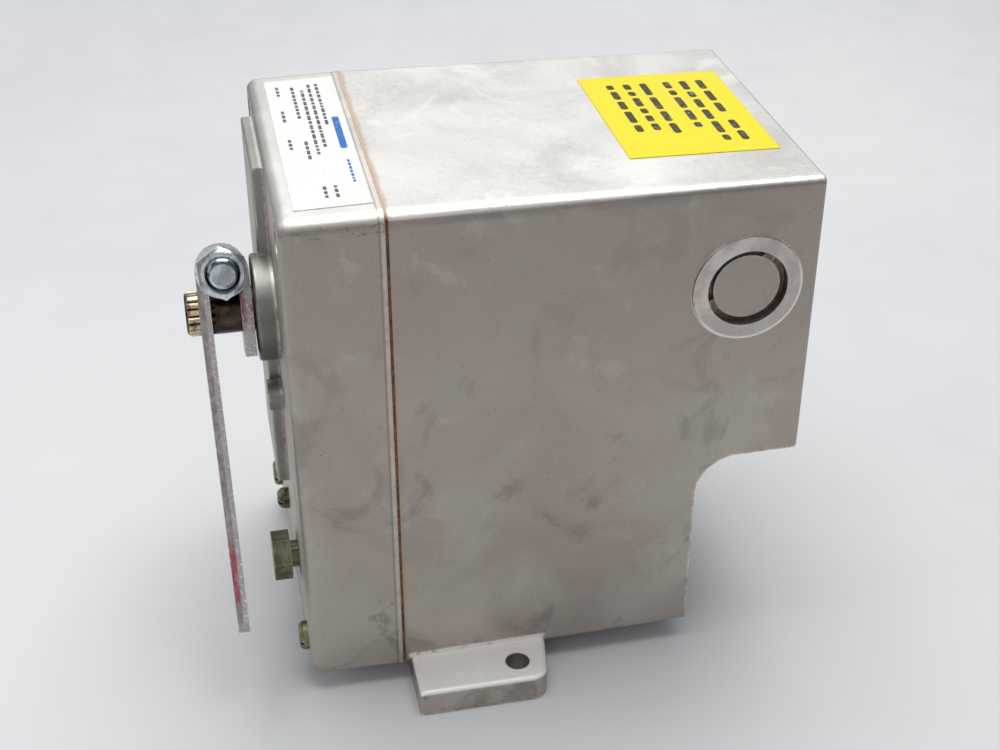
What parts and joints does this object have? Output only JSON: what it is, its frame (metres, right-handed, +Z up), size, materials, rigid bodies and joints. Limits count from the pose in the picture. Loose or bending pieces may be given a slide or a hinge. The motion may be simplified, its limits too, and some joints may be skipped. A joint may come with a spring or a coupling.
{
  "type": "motorized valve actuator",
  "caption": "Foot-mounted electric actuator in a die-cast case with an overhanging rear cover, splined front output shaft and a folded steel crank arm clamped on it.",
  "frame": {"origin": "middle of the two foot holes, on the plane that the feet stand on", "axes": "+Z up, the output shaft points to -Y, +X is the side with the visible foot; the shaft stands 9.5 mm to +X of the middle"},
  "size_m": [0.1324, 0.1673, 0.152],
  "materials": {
    "cast_aluminium": "die-cast, dull and stained",
    "gasket_cork": "compressed fibre sheet, stained at the seam",
    "white_label": "film label, satin",
    "yellow_label": "film label, satin",
    "bearing_bronze": "sintered",
    "seal_rubber": "moulded",
    "ground_steel": "ground",
    "oiled_steel": "dark and oily, bright on the serrations",
    "plated_sheet": "zinc plated sheet",
    "zinc_steel": "bright zinc",
    "olive_zinc": "olive chromate",
    "lamination_steel": "varnished laminations",
    "bobbin_nylon": "moulded",
    "coil_wire": "varnished wire under tape",
    "bracket_aluminium": "die-cast",
    "switch_plastic": "moulded phenolic",
    "capacitor_can": "drawn can",
    "strap_steel": "zinc plated, worn, traces of red paint",
    "gear_steel": "hobbed, lightly oiled"
  },
  "bodies": {
    "case": {"rear_housing": "cast_aluminium", "front_housing": "cast_aluminium", "housing_gasket": "gasket_cork", "name_label": "white_label", "caution_label": "yellow_label", "front_bushing": "bearing_bronze", "shaft_seal": "seal_rubber", "rear_bushing": "bearing_bronze", "gear_arbors": "ground_steel", "gear_plate": "plated_sheet", "plate_screws": "zinc_steel", "post_screw": "olive_zinc", "cover_screws": "olive_zinc", "front_bolt": "olive_zinc", "motor_stator": "lamination_steel", "coil_bobbin": "bobbin_nylon", "motor_coil": "coil_wire", "front_bracket": "bracket_aluminium", "rear_bracket": "bracket_aluminium", "motor_bushings": "bearing_bronze", "motor_spacers": "bracket_aluminium", "motor_screws": "zinc_steel", "opening_switch": "switch_plastic", "closing_switch": "switch_plastic", "switch_spacers": "bracket_aluminium", "switch_screws": "zinc_steel", "chassis_shelf": "plated_sheet", "shelf_screws": "zinc_steel", "terminal_block": "switch_plastic", "terminal_screws": "zinc_steel", "capacitor": "capacitor_can", "capacitor_clip": "plated_sheet", "clip_screw": "zinc_steel"},
    "output": {"output_shaft": "oiled_steel", "gear_key": "ground_steel", "output_gear": "gear_steel", "retaining_ring": "ground_steel", "crank_arm": "strap_steel", "clamp_bolt": "zinc_steel", "lock_washer": "zinc_steel", "clamp_nut": "zinc_steel", "opening_cam": "bracket_aluminium", "closing_cam": "bracket_aluminium", "cam_set_screws": "ground_steel"},
    "third_gear": {"third_gear": "gear_steel"},
    "second_gear": {"second_gear": "gear_steel"},
    "first_gear": {"first_gear": "gear_steel"},
    "rotor": {"motor_rotor": "bracket_aluminium", "rotor_shaft": "ground_steel", "motor_pinion": "gear_steel"},
    "opening_lever": {"opening_lever": "ground_steel"},
    "closing_lever": {"closing_lever": "ground_steel"}
  },
  "joints": [
    {"name": "output_turn", "type": "hinge", "parent": "case", "child": "output", "pos_m": [0.0095, 0, 0.107], "axis": [0, -1, 0], "range_deg": [-90, 90]},
    {"name": "third_gear_turn", "type": "hinge", "parent": "case", "child": "third_gear", "pos_m": [0.0095, 0, 0.078], "axis": [0, -1, 0], "range_deg": [-283.86, 283.86]},
    {"name": "second_gear_turn", "type": "hinge", "parent": "case", "child": "second_gear", "pos_m": [-0.01418, 0, 0.06938], "axis": [0, -1, 0], "range_deg": [-1415.29, 1415.29]},
    {"name": "first_gear_turn", "type": "hinge", "parent": "case", "child": "first_gear", "pos_m": [-0.02157, 0, 0.04908], "axis": [0, -1, 0], "range_deg": [-7072.43, 7072.43]},
    {"name": "rotor_turn", "type": "hinge", "parent": "case", "child": "rotor", "pos_m": [-0.0003, 0, 0.04533], "axis": [0, -1, 0], "range_deg": [-35358.14, 35358.14]},
    {"name": "opening_lever_press", "type": "hinge", "parent": "case", "child": "opening_lever", "pos_m": [-0.007, 0, 0.092], "axis": [0, -1, 0], "range_deg": [0, 3.5], "stiffness_Nm_per_rad": 0.03, "springref_deg": -1.15},
    {"name": "closing_lever_press", "type": "hinge", "parent": "case", "child": "closing_lever", "pos_m": [-0.007, 0, 0.092], "axis": [0, -1, 0], "range_deg": [0, 3.5], "stiffness_Nm_per_rad": 0.03, "springref_deg": -1.15}
  ],
  "couplings": [
    {"joint": "third_gear_turn", "follows": "output_turn", "ratio": -3.1429},
    {"joint": "second_gear_turn", "follows": "output_turn", "ratio": 15.714},
    {"joint": "first_gear_turn", "follows": "output_turn", "ratio": -78.571},
    {"joint": "rotor_turn", "follows": "output_turn", "ratio": 392.86}
  ]
}
